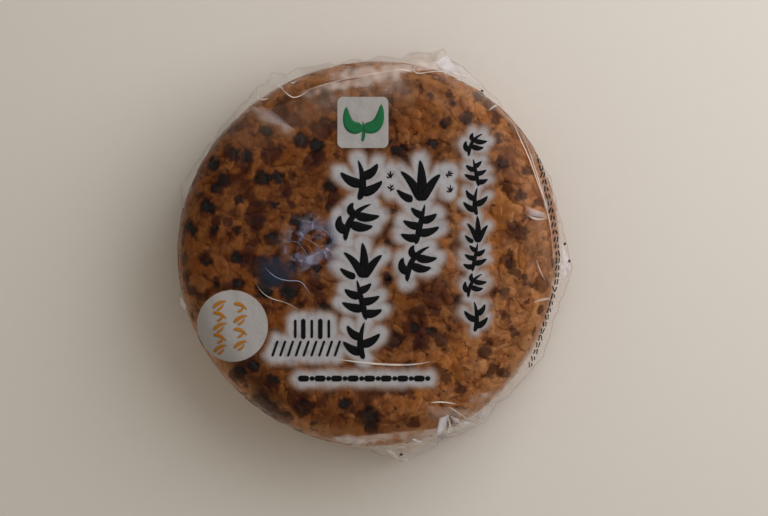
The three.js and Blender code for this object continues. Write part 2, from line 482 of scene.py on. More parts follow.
SCORCH_MARKS = [
    (-28.8, 20.4, 1.4), (-25.9, 20.2, 1.45), (-33.2, 18.3, 1.5), (-31.1, 14.8, 1.6),
    (-32.4, 13.2, 1.5), (-34.5, 9.1, 1.8), (-23.3, 15.2, 1.6), (-21.9, 15.0, 1.3),
    (-19.5, 15.4, 1.4), (-21.9, 25.2, 1.5), (-14.7, 23.4, 1.7), (-11.2, 21.9, 1.7),
    (-27.8, 10.6, 1.1), (-20.2, 9.4, 1.1), (-23.9, 6.3, 1.45), (-15.4, 6.0, 1.6),
    (-13.4, 6.6, 1.5), (-8.4, 13.6, 1.5), (-8.2, 8.8, 1.1), (-38.0, 4.4, 1.4),
    (-33.1, 4.2, 1.1), (-7.9, 1.7, 1.4), (-20.7, 2.6, 1.7), (-34.8, -2.2, 1.2),
    (-28.1, -1.6, 1.3), (-28.1, -7.2, 1.1), (-23.5, -3.5, 2.4), (-20.6, -5.6, 2.8),
    (-17.0, -8.6, 2.6), (-22.4, -8.8, 2.0), (-9.9, -12.4, 1.7), (-10.6, -13.7, 1.3),
    (-16.3, -3.5, 1.2), (-11.0, -4.1, 1.1), (-24.6, -24.6, 1.4), (-27.8, -25.8, 1.5),
    (-20.6, -27.7, 1.6), (-23.6, -32.4, 2.5), (-21.4, -34.4, 2.6), (-18.8, -35.9, 2.2),
    (-14.1, -33.3, 1.9), (-5.4, -32.4, 1.4), (-0.3, -35.3, 2.3), (0.4, -37.7, 1.8),
    (3.9, -2.1, 1.3), (3.5, -11.9, 1.5), (9.7, -16.5, 1.4), (13.1, -17.1, 1.2),
    (15.2, -19.0, 1.5), (5.0, -19.0, 2.1), (19.0, -10.9, 1.5), (28.6, -9.1, 1.4),
    (24.3, -21.5, 1.6), (28.6, -26.3, 1.1), (19.3, -29.6, 1.2), (36.4, -7.2, 1.6),
    (29.7, -2.7, 1.2), (18.1, 0.6, 1.4), (31.8, 3.8, 1.6), (31.8, 11.7, 1.2),
    (27.7, 18.1, 1.8), (33.3, 16.8, 1.2), (27.1, 23.7, 1.3), (20.6, 27.9, 1.6),
    (15.9, 26.8, 1.2), (23.2, 32.7, 1.4), (25.7, 31.1, 1.7), (13.4, 22.7, 1.05),
    (6.1, 20.8, 1.8), (7.1, 19.0, 1.4), (4.4, 31.9, 1.0), (-9.7, 33.3, 1.3),
]


def rice_finish(name, is_core):
    rice = Finish(name)
    place = rice.place()
    cloud = rice.noise(place, 12 * MM)
    patch = rice.noise(rice.vector("ADD", place, (0.1, 0, 0)), 6 * MM, detail=3.0)
    mottle = rice.noise(rice.vector("ADD", place, (0, 0.1, 0)), 3.2 * MM, detail=5.0)
    fine = rice.noise(place, 1.1 * MM, detail=5.0)
    if is_core:
        tone = fine * 0.6 + mottle * 0.9
        # Painted shade as well as glaze: the core shows only between the grains, so it takes a fixed share
        # of the darker gap colour
        gap = 0.3
        edge = 0.0
    else:
        tone = rice.attribute("tone") * 0.14 + fine * 0.55 + mottle * 0.8
        depth = rice.attribute("gap")
        # Painted shade: the deeper a point lies in a gap, the darker it is painted, over the glaze's own
        # darker brown
        gap = rice.ramp(depth, 0.3, 0.8) * 0.2
        # Painted highlight: a light rim just inside the edge of each grain
        edge = rice.ramp(depth, 0.02, 0.2) * (1 - rice.ramp(depth, 0.2, 0.5))
        edge = edge * rice.ramp(mottle, 0.42, 0.6) * 0.7
    colour = rice.mix(rice.ramp(tone, 0.54, 0.98), BROWN, TAN)
    colour = rice.mix(rice.ramp(cloud, 0.5, 0.62) * 0.7, colour, AMBER)
    colour = rice.mix(edge, colour, HIGHLIGHT_TAN)
    # Partly painted shade, partly more scorching: the left and a round patch right of the middle get browner
    # and darker
    slope = rice.axis(place, 0) - rice.axis(place, 1) * 0.2 + (cloud - 0.5) * (30 * MM)
    to_dip = rice.vector("DISTANCE", rice.vector("MULTIPLY", place, (1, 1, 0)), DARK_DIP, output=1)
    slope = slope - (1 - rice.ramp(to_dip, 3 * MM, 13 * MM)) * DIP_STRENGTH
    browner_and_shaded = 1 - rice.ramp(slope, DARK_FULL, DARK_GONE)
    # Painted highlight: thin light lines along curled grains
    curl_highlight = rice.noise(rice.vector("ADD", place, (0, 0, 0.1)), 3.4 * MM, detail=4.0) - 0.5
    curl_highlight = (1 - rice.ramp(curl_highlight.most(curl_highlight * -1), 0.0, 0.035)) * rice.ramp(fine, 0.42, 0.56)
    colour = rice.mix(curl_highlight * 0.5, colour, HIGHLIGHT_TAN)

    # Painted light: the shoulder is painted lighter than the top, most of all at the bottom (towards -Y)
    shoulder = 1 - rice.ramp(rice.axis(place, 2), *LIGHT_SHOULDER)
    at_bottom = 1 - rice.ramp(rice.axis(place, 1), *LIGHT_BOTTOM)
    at_top = rice.ramp(rice.axis(place, 1), *LIGHT_TOP) * LIGHT_TOP_SHARE
    shoulder = shoulder * at_bottom.most(at_top)
    browner_and_shaded = browner_and_shaded * (1 - shoulder * 0.9)
    patches = rice.ramp(patch, 0.50, 0.60) * (0.42 + browner_and_shaded * 0.46)
    colour = rice.mix(patches, colour, GLAZE_DARK)
    # Painted shade in the gaps, over the glaze's darker brown
    colour = rice.mix(gap, colour, GAP_GLAZE_AND_SHADE)
    # Partly painted shade: the left side is darkened
    colour = rice.mix(browner_and_shaded, colour, rice.vector("MULTIPLY", colour, SHADE_AND_SCORCH_SIDE))
    colour = rice.mix(shoulder * 0.6, colour, HIGHLIGHT_TAN)

    # The marks' edges wander, because the place that they are measured from does
    wander = rice.noise(place, 1.6 * MM, detail=4.0, output="Color")
    wander = rice.vector("SUBTRACT", wander, (0.5, 0.5, 0.5))
    wander = rice.node("VectorMath", {0: wander, "Scale": 2 * SPOT_UNEVEN}, operation="SCALE")
    marked = rice.vector("ADD", place, wander)
    on_top = rice.ramp(rice.axis(place, 2), 16 * MM, 20 * MM)
    in_plan = rice.vector("MULTIPLY", marked, (1, 1, 0))
    nearness = 3.0
    for across_mm, up_mm, radius_mm in SCORCH_MARKS:
        away = rice.vector("DISTANCE", in_plan, (across_mm * MM, up_mm * MM, 0), output=1)
        nearness = (away / (radius_mm * MM)).least(nearness)
    nearness = nearness * (0.7 + rice.noise(place, 2.5 * MM) * 0.7)
    baked = 0.25 + rice.ramp(rice.noise(place, 5 * MM), 0.36, 0.52) * 0.75
    baked = baked * (0.45 + browner_and_shaded * 0.6).least(1.0)
    placed_red = (1 - rice.ramp(nearness, 0.8, 1.45)) * on_top
    placed_char = (1 - rice.ramp(nearness, 0.65, 1.05)) * on_top * baked

    away, chance = rice.cells(marked, SPOT_CELL)
    there = rice.ramp(chance, 0.60, 0.64) * (0.5 + browner_and_shaded * 0.6).least(1.0)
    red = (1 - rice.ramp(away, 0.16, 0.34)) * there
    char = (1 - rice.ramp(away, 0.12, 0.22)) * there * baked
    toasted = rice.ramp(rice.noise(place, 4 * MM, detail=5.0), 0.55, 0.63) * 0.75
    away, chance = rice.cells(marked, SPECK_CELL)
    toasted = toasted.most((1 - rice.ramp(away, 0.12, 0.26)) * rice.ramp(chance, 0.62, 0.66) * 0.8)
    colour = rice.mix(toasted, colour, SCORCH_RED)
    colour = rice.mix(red.most(placed_red) * (0.58 + browner_and_shaded * 0.25), colour, SCORCH_RED)
    black = rice.mix(rice.ramp(nearness, 0.35, 0.85), CHAR, CHAR_RIM)
    colour = rice.mix(char.most(placed_char) * 0.95, colour, black)

    relief = rice.noise(place, 0.8 * MM, detail=3.0)
    return rice.surface({
        "Base Color": colour,
        "Roughness": 0.42 + fine * 0.2,
        "Normal": rice.bump(relief, 0.4, 0.15 * MM),
        "Specular IOR Level": 0.12,
        "Subsurface Weight": 0.22,
        "Subsurface Radius": (1.0, 0.45, 0.2),
        "Subsurface Scale": 1.0 * MM,
    })


hand_over(core, "rice_core", rice_finish("glazed rice core", is_core=True))
hand_over(grains, "rice_grains", rice_finish("glazed rice", is_core=False))

# %% [markdown]
# The rim of the bag follows straight runs from corner to corner, gathered into small uneven
# pleats. A simple repeatable sequence of numbers, made by multiplying and adding, spaces the
# pleats.

# %% The film's rim
def repeatable_numbers(seed):
    """A repeatable sequence of numbers from 0 to 1."""
    state = seed
    while True:
        state = (state * 1664525 + 1013904223) % 2 ** 32
        yield state / 2 ** 32


def rim_points():
    numbers = repeatable_numbers(PLEAT_SEED)
    points = []
    for start, end in zip(RIM_CORNERS, RIM_CORNERS[1:] + RIM_CORNERS[:1]):
        span = (end[0] - start[0]) % 360
        steps = 2 * max(2, int(span / PLEAT_STEP / 2 + 0.5))
        corner, following = (
            np.array([reach * math.cos(math.radians(a)), reach * math.sin(math.radians(a))])
            for a, reach, height in (start, end)
        )
        for step in range(steps):
            shift = (next(numbers) - 0.5) * PLEAT_UNEVEN if step else 0
            share = (step + shift) / steps
            x, y = (corner + (following - corner) * share) * MM
            angle = math.atan2(y, x)
            at_ends = math.sin(angle) ** 2
            depth = PLEAT_DEPTH_SIDES + (PLEAT_DEPTH_ENDS - PLEAT_DEPTH_SIDES) * at_ends
            valley = depth * (1 - PLEAT_UNEVEN * next(numbers)) if step % 2 else 0
            reach = max(math.hypot(x, y) - valley, rice_radius(angle) + RIM_CLEARANCE)
            height = (start[2] + (end[2] - start[2]) * share) * MM
            points.append((angle % FULL_TURN, reach, height))
    return np.array(sorted(points))


rim = rim_points()


def rim_at(angle):
    """The rim's reach and height in each direction."""
    return (np.interp(angle, rim[:, 0], rim[:, column], period=FULL_TURN) for column in (1, 2))


print("pleat points on the rim:", len(rim))

# %% [markdown]
# Seen from above, no part of the film's upper side hides another, so one function can give
# its height at any place: flat on the rice, round over the shoulder, then straight down to
# the rim. Crumpled film is a net of sharp ridges between flatter cells, which is what the
# distance between the two nearest points of a Voronoi pattern gives. On the loose skirt the
# cells are long and run outwards, as gathered film does. The relief is added along the
# film's own normal, so on the steep skirt it counts for more height. The function also
# serves the print and the creases, which have to lie on the film.

# %% The film's upper side
FILM_LIFT = 0.72 * MM
TOP_RIPPLE = 0.15 * MM
TOP_RIPPLE_SIZE = 2.6 * MM
CRUMPLE_SIDES = 0.45 * MM
CRUMPLE_ENDS = 0.9 * MM
CRUMPLE_ACROSS = 2.8 * MM
CRUMPLE_ALONG = 3.6 * MM
CRUMPLE_SEED = 3.0
STEEPEST = 0.3


def crumple_cells(angle, radius):
    """Crumpled film as flat cells with sharp edges: 0 on an edge, 1 well inside a cell."""
    around = RICE_RADIUS / CRUMPLE_ACROSS
    values = []
    for a, r in zip(np.ravel(angle), np.ravel(radius)):
        spot = Vector((math.cos(a) * around, math.sin(a) * around, r / CRUMPLE_ALONG + CRUMPLE_SEED))
        near, second = noise.voronoi(spot)[0][:2]
        values.append(min((second - near) / 0.4, 1))
    return np.array(values).reshape(np.shape(angle))


def film_top(x, y):
    """The height of the film's upper side, and how near the place is to a crumple's edge."""
    angle = np.arctan2(y, x)
    radius = np.hypot(x, y)
    reach, rim_height = rim_at(angle)
    flat = rice_radius(angle) - SHOULDER_RADIUS
    bend = SHOULDER_RADIUS + FILM_LIFT
    leaves_radius = flat + bend * math.sin(FILM_LEAVES_AT)
    leaves_height = TOP_HEIGHT - SHOULDER_RADIUS + bend * math.cos(FILM_LEAVES_AT)
    sine = np.clip((radius - flat) / bend, 0, 0.999)
    rounded = TOP_HEIGHT - SHOULDER_RADIUS + bend * np.sqrt(1 - sine ** 2)
    share = np.clip((radius - leaves_radius) / (reach - leaves_radius), 0, 1)
    straight = leaves_height + (rim_height - leaves_height) * share
    on_skirt = radius > leaves_radius
    height = np.where(on_skirt, straight, rounded)

    flat_enough = np.maximum(np.where(on_skirt, STEEPEST, np.sqrt(1 - sine ** 2)), STEEPEST)
    ends = CRUMPLE_SIDES + (CRUMPLE_ENDS - CRUMPLE_SIDES) * np.sin(angle) ** 2
    loose = smooth(radius, flat + 0.6 * SHOULDER_RADIUS, leaves_radius + 1.5 * MM)
    inside = np.zeros(np.shape(radius))
    skirt = loose > 0
    inside[skirt] = crumple_cells(angle[skirt], radius[skirt])
    out = ends * loose * (inside - 0.6) * (1 - share ** 4)
    places = np.stack([x, y, x * 0], -1).reshape(-1, 3)
    ripple = field_of_noise(places, TOP_RIPPLE_SIZE, 4).reshape(np.shape(x)) * TOP_RIPPLE
    edge = np.where(skirt, loose * smooth(inside, 0.22, 0.04), 0)
    return height + (out + ripple * (1 - loose)) / flat_enough, edge


# %% [markdown]
# The bag itself starts as a sphere with very many rings, because a sphere is already closed
# and even at both poles. Each ring is then moved to its own place on the bag: over the top,
# round the shoulder, down the skirt, in under the rim and across the base.

# %% The film bag
FILM_SIDES = 500
RINGS = {"top": 70, "shoulder": 26, "skirt": 44, "heel": 12, "under": 8, "base": 20}
UNDER_CRUMPLE = 0.25 * MM
UNDER_CRUMPLE_SIZE = 3 * MM

ring_count = sum(RINGS.values())
start_piece()
bpy.ops.mesh.primitive_uv_sphere_add(segments=FILM_SIDES, ring_count=ring_count, radius=1)
film = bpy.context.object
sphere = places_of(film.data)
angle = np.arctan2(sphere[:, 1], sphere[:, 0])
ring = np.round(np.arccos(np.clip(sphere[:, 2], -1, 1)) / math.pi * ring_count)
reach, rim_height = rim_at(angle)
flat = rice_radius(angle) - SHOULDER_RADIUS
leaves = flat + (SHOULDER_RADIUS + FILM_LIFT) * math.sin(FILM_LEAVES_AT)
heel_radius = reach + (BASE_RADIUS - reach) * HEEL_INSET
heel_height = FOLD_THICKNESS + (rim_height - FOLD_THICKNESS) * HEEL_HEIGHT
stops = [
    (0 * reach, None), (flat, None), (leaves, None), (reach, rim_height),
    (heel_radius, heel_height), (BASE_RADIUS + 0 * reach, FOLD_THICKNESS + 0 * reach),
    (0 * reach, FOLD_THICKNESS + 0 * reach),
]
radius = np.zeros(len(sphere))
height = np.zeros(len(sphere))
first_ring = 0
for (begin, begin_height), (end, end_height), count in zip(stops, stops[1:], RINGS.values()):
    share = (ring - first_ring) / count
    here = (ring >= first_ring) & (ring <= first_ring + count)
    radius[here] = (begin + (end - begin) * share)[here]
    if begin_height is not None:
        height[here] = (begin_height + (end_height - begin_height) * share)[here]
    first_ring += count
rim_ring = RINGS["top"] + RINGS["shoulder"] + RINGS["skirt"]
upper = ring <= rim_ring
x = radius * np.cos(angle)
y = radius * np.sin(angle)
crumple = np.zeros(len(sphere))
height[upper], crumple[upper] = film_top(x[upper], y[upper])
lower = ~upper
under_places = np.stack([x, y, height], 1)[lower]
under_share = np.clip((ring[lower] - rim_ring) / RINGS["heel"], 0, 1)
under_share *= np.clip((height[lower] - FOLD_THICKNESS) / (1 * MM), 0, 1)
under_noise = np.abs(field_of_noise(under_places, UNDER_CRUMPLE_SIZE, 8))
height[lower] += under_noise * under_share * UNDER_CRUMPLE
move_to(film.data, np.stack([x, y, height], 1))
film.data.polygons.foreach_set("use_smooth", [True] * len(film.data.polygons))
write_attribute(film.data, "crumple", crumple)
print("film's highest point in mm:", round(height.max() / MM, 2))

# %% [markdown]
# Film that is folded or stretched scatters a little light and looks milky. That can't come from the lights
# alone, so each point of the film stores how milky it is, in soft bands beside the long folds. The bands
# also paint pale reflections and lit rice on the film, so they are partly painted light. A band is given by
# its two ends and its width, in millimetres, and how strong it is. It lies to the right of its run. Near the
# rice the loose film also mirrors the rice, and that reflection is painted in brown, most of all at the
# lower right.

# %% Milky folds and painted reflections
HAZE_BANDS = [
    ((-31.0, 27.0), (-12.0, 33.0), 12.0, 0.15), ((-12.0, 32.0), (4.0, 35.0), 9.0, 0.17),
    ((-14.8, 33.5), (-8.5, 35.4), 4.5, 0.42), ((-8.5, 35.4), (6.4, 38.0), 4.0, 0.72),
    ((-13.0, 33.0), (8.0, 37.0), 9.0, 0.30), ((14.9, 38.6), (-8.5, 35.9), 5.0, 0.70),
    ((6.4, 38.0), (14.5, 37.5), 3.0, 0.07), ((-27.0, 31.8), (-15.8, 25.6), 4.5, 0.36),
    ((15.5, 37.9), (27.0, 31.5), 3.5, 0.22), ((-24.0, -35.5), (-4.0, -40.5), 3.5, 0.24),
    ((12.7, -33.0), (23.2, -34.0), 5.0, 0.46), ((-8.0, -40.0), (13.0, -38.0), 4.5, 0.62),
    ((9.0, -38.5), (21.0, -37.0), 4.0, 0.62), ((21.0, -30.8), (29.0, -29.5), 4.5, 0.42),
    ((36.8, 8.5), (38.8, -6.5), 3.5, 0.20), ((37.4, -16.0), (39.0, -3.0), 3.0, 0.42),
    ((39.0, -3.0), (38.6, 4.0), 3.0, 0.46), ((38.6, 4.0), (34.0, 20.0), 3.0, 0.48),
]
WARM_SIDE = math.radians(-30)
WARM_LEAST = 0.12
WARM_REACH = 5.0


def along_run(x, y, start, end):
    """How far along a run each place is, from 0 to 1, and how far to its right."""
    start = np.array(start) * MM
    run = np.array(end) * MM - start
    length = np.linalg.norm(run)
    run /= length
    share = ((x - start[0]) * run[0] + (y - start[1]) * run[1]) / length
    right = (x - start[0]) * run[1] - (y - start[1]) * run[0]
    return share, right


# The bands are partly milky film and partly painted reflections and lit rice
haze = np.zeros(len(sphere))
for start, end, width, strength in HAZE_BANDS:
    share, right = along_run(x, y, start, end)
    within = smooth(share, -0.12, 0.08) * smooth(share, 1.12, 0.92)
    band = within * smooth(right / MM, -0.25, 0.15) * smooth(right / MM, width, 0.2 * width) ** 1.5
    haze = np.maximum(haze, band * strength)
patches = 0.75 + 0.5 * field_of_noise(np.stack([x, y, x * 0], 1), 1.7 * MM, 12)
haze[lower] = 0
write_attribute(film.data, "haze", haze * np.clip(patches, 0.1, 1.2))

# Painted reflection of the brown rice in the loose film near it
past_rice = (radius - rice_radius(angle)) / MM
painted_rice_reflection = smooth(past_rice, -1.5, 0.0) * smooth(past_rice, WARM_REACH, 0.5)
facing = 0.5 + 0.5 * np.cos(angle - WARM_SIDE)
painted_rice_reflection *= (WARM_LEAST + (1 - WARM_LEAST) * facing ** 2) * np.clip(patches * 1.3, 0.3, 1) * upper
write_attribute(film.data, "painted_rice_reflection", painted_rice_reflection)
print("share of the film that is milky:", round(float((haze > 0.05).mean()), 3))

# %% [markdown]
# The print is plain ornament: leafy twigs in brush strokes, a rope border, a line of beads
# and bars. Each stroke is a run of points with a width. A twig is drawn once in a square
# from -1 to 1, and placed by its middle and half its size in millimetres. The same runs
# later shape the strokes and the pale field that lies round them.

# %% What is printed
TWIGS = [
    [
        (((-0.10, -1.00), (0.08, -0.10), (-0.12, 1.00)), 0.26),
        (((0.02, -0.60), (0.45, -0.48), (0.90, -0.05)), 0.36),
        (((0.04, -0.18), (-0.42, -0.05), (-0.86, 0.38)), 0.36),
        (((0.03, 0.20), (0.42, 0.36), (0.70, 0.82)), 0.34),
    ],
    [
        (((-0.65, -0.95), (-0.35, 0.25), (0.48, 0.95)), 0.24),
        (((-0.56, -0.45), (-0.90, -0.15), (-0.85, 0.35)), 0.36),
        (((-0.40, -0.02), (0.05, -0.25), (0.55, -0.18)), 0.36),
        (((-0.18, 0.42), (0.30, 0.26), (0.85, 0.34)), 0.34),
        (((-0.24, 0.40), (-0.42, 0.68), (-0.30, 1.02)), 0.30),
    ],
    [
        (((0.00, -1.00), (-0.30, -0.20), (-0.82, 0.45)), 0.32),
        (((0.04, -1.00), (0.08, 0.00), (0.00, 1.00)), 0.36),
        (((0.10, -1.00), (0.44, -0.25), (0.86, 0.30)), 0.32),
        (((-0.30, -0.92), (-0.62, -0.80), (-0.98, -0.45)), 0.28),
    ],
    [
        (((0.25, -1.00), (0.05, 0.00), (-0.15, 1.00)), 0.22),
        (((0.18, -0.62), (0.50, -0.68), (0.90, -0.48)), 0.32),
        (((0.12, -0.40), (-0.30, -0.38), (-0.78, -0.12)), 0.32),
        (((0.06, -0.05), (0.40, -0.04), (0.80, 0.20)), 0.30),
        (((0.00, 0.22), (-0.35, 0.28), (-0.66, 0.55)), 0.30),
        (((-0.05, 0.48), (0.18, 0.56), (0.45, 0.84)), 0.28),
    ],
]
TWIG_PLACES = [
    (0, (-1.9, 14.8), (5.0, 4.2)), (1, (-2.1, 5.8), (4.8, 4.1)), (2, (-1.6, -2.2), (4.8, 3.7)),
    (3, (-2.0, -10.6), (5.0, 4.2)), (0, (-1.7, -19.2), (-4.4, 3.9)),
    (2, (10.6, 14.7), (5.0, 4.3)), (3, (10.9, 5.4), (-4.8, 4.2)), (1, (10.6, -3.0), (4.2, 3.9)),
    (1, (22.6, 22.2), (2.6, 2.5)), (3, (22.3, 16.4), (2.9, 2.9)), (0, (22.4, 10.3), (-2.9, 2.9)),
    (2, (22.7, 4.4), (2.6, 2.8)), (3, (22.4, -1.5), (-2.9, 3.0)), (1, (22.5, -7.6), (2.6, 2.6)),
    (0, (22.4, -14.1), (2.8, 3.2)),
    (2, (4.3, 16.0), (0.8, 0.8)), (0, (4.4, 13.2), (0.8, 0.8)),
    (1, (17.0, 16.0), (0.8, 0.8)), (2, (17.0, 13.0), (0.8, 0.8)),
]
BOLD = 1.25
SMALL_BAR = 3.4
BARS = [(-15.8, 0.55), (-14.1, 0.95), (-12.3, 0.55), (-10.5, 0.95), (-8.7, 0.55)]
ROPE_STARTS = np.arange(-20.6, -7.4, 1.65)
BEAD_STEP = 3.5
BEADS_FROM = -14.6


def twig_runs(kind, middle, half):
    for run, width in TWIGS[kind]:
        places = [(middle[0] + px * half[0], middle[1] + py * half[1]) for px, py in run]
        yield places, width * BOLD * (abs(half[0]) + half[1]) / 2


brush_runs = [run for place in TWIG_PLACES for run in twig_runs(*place)]
bar_runs = [([(px, -15.0), (px, -15.0 - SMALL_BAR)], width) for px, width in BARS]
bar_runs += [([(px, -22.3), (px + 1.0, -19.4)], 0.5) for px in ROPE_STARTS]
for bead in range(8):
    left = BEADS_FROM + bead * BEAD_STEP
    bar_runs.append(([(left, -27.2), (left + 1.1, -27.2)], 1.25))
    bar_runs.append(([(left + 2.3, -27.2), (left + 2.4, -27.2)], 0.95))
print("strokes:", len(brush_runs), "bars:", len(bar_runs))

# %% [markdown]
# The pale field round the print is a blurred outline of the strokes themselves, so it needs
# the distance from each point of the film to the nearest stroke. A k-d tree answers that
# fast: it is filled with points along all the strokes, and asked once for each point of the
# film. A little noise makes the field's edge wander.

# %% The pale field round the print
FIELD_FULL = 0.9 * MM
FIELD_GONE = 3.1 * MM
FIELD_WANDER = 0.5 * MM
SMALL_PRINT_FROM = 18 * MM
SMALL_PRINT_TIGHTER = 0.7 * MM
POINTS_ON_RUN = 9
ROUNDING = 0.09


def point_on_run(run, share):
    """Places along a run of corners at shares from 0 to 1, with its corners rounded."""
    run = np.array(run, dtype=float)
    lengths = np.linalg.norm(np.diff(run, axis=0), axis=1)
    stops = np.concatenate([[0], np.cumsum(lengths)]) / lengths.sum()
    share = np.asarray(share, dtype=float)
    if len(run) == 3:
        share = share[:, None]
        bend = 2 * run[1] - (run[0] + run[2]) / 2
        return run[0] * (1 - share) ** 2 + 2 * bend * share * (1 - share) + run[2] * share ** 2
    spread = np.minimum(np.minimum(share, 1 - share), ROUNDING)
    shares = [share + spread * step for step in (-1, -0.5, 0, 0.5, 1)]
    return np.mean([
        np.stack([np.interp(s, stops, run[:, column]) for column in range(2)], 1) for s in shares
    ], axis=0)


inked = np.concatenate([
    point_on_run(run, np.linspace(0, 1, POINTS_ON_RUN)) for run, width in brush_runs + bar_runs
]) * MM
tree = kdtree.KDTree(len(inked))
for number, (px, py) in enumerate(inked):
    tree.insert((px, py, 0), number)
tree.balance()
on_front = upper & (radius < RICE_RADIUS)
from_stroke = np.full(len(sphere), 1.0)
from_stroke[on_front] = [tree.find((px, py, 0))[2] for px, py in zip(x[on_front], y[on_front])]
from_stroke += field_of_noise(np.stack([x, y, x * 0], 1), 2.2 * MM, 15) * FIELD_WANDER
from_stroke += smooth(x, SMALL_PRINT_FROM - 1 * MM, SMALL_PRINT_FROM + 1 * MM) * SMALL_PRINT_TIGHTER
write_attribute(film.data, "field", smooth(from_stroke, FIELD_GONE, FIELD_FULL))
print("share of the front that is printed:", round(float((from_stroke[on_front] < FIELD_FULL).mean()), 2))

# %% [markdown]
# Clear film is hard to draw with real refraction: it takes long and stays noisy. It is so thin that it bends
# nothing, so alpha does as well. Most of it is see-through, and what is left is a mirror for the lights,
# stronger towards grazing angles. Ink and milky folds make it less clear, and the milky bands and crumple
# edges carry painted reflections and highlights too. A thin milky layer is painted with the brown of the lit
# rice, and a thick one is paler. The brown of the rice mirrored near the rim is painted as well. The round
# sticker and the square patch have sharp edges. At the left the film sags over a scorched hollow, where it
# is finely crinkled and looks bluish: a painted bluish sheen, with painted highlights along a net of thin
# Voronoi edges inside an oval. A dark blue pool of painted shade lies in a smaller oval beside it.

# %% Film finish
FIELD_COVER = 0.88
FIELD_GREY = (0.45, 0.465, 0.49)
SMUDGE_GREY = (0.30, 0.32, 0.36)
PAPER_GREY = (0.39, 0.375, 0.36)
MILKY = (0.86, 0.67, 0.57)
# Painted: thin milky film tinted with the brown of the lit rice
THIN_MILKY_RICE_SHEEN = (0.58, 0.33, 0.20)
# Painted bluish sheen on the crinkled hollow
BLUISH_SHEEN = (0.42, 0.46, 0.66)
# Painted reflection of the rice in the loose film near it
RICE_REFLECTION_BROWN = (0.66, 0.38, 0.20)
MIRROR_COLOUR = (0.95, 0.95, 0.97)
MIRROR_IOR = 1.16
MIRROR_MOST = 0.28
# Painted highlight, partly milky film, along the crumple edges
RIDGE_MILKY = 0.15
RICE_REFLECTION_COVER = 0.68
POOL_COVER = 0.45
STICKER_MIDDLE = (-29.2 * MM, -16.1 * MM)
STICKER_RADIUS = 7.6 * MM
PATCH_MIDDLE = (-1.5 * MM, 27.0 * MM)
PATCH_HALF = 5.4 * MM
PATCH_CORNER = 1.2 * MM
SHARP = 0.12 * MM
FAR = 1.0
HOLLOW_MIDDLE = (-12.6 * MM, 1.2 * MM)
HOLLOW_HALF = (8.0 * MM, 8.0 * MM)
# Painted shade pooled in the hollow
POOL_BLUE = (0.015, 0.035, 0.075)
POOL_MIDDLE = (-20.0 * MM, -4.2 * MM)
POOL_HALF = (5.2 * MM, 4.4 * MM)
NET_CELL = 2.9 * MM


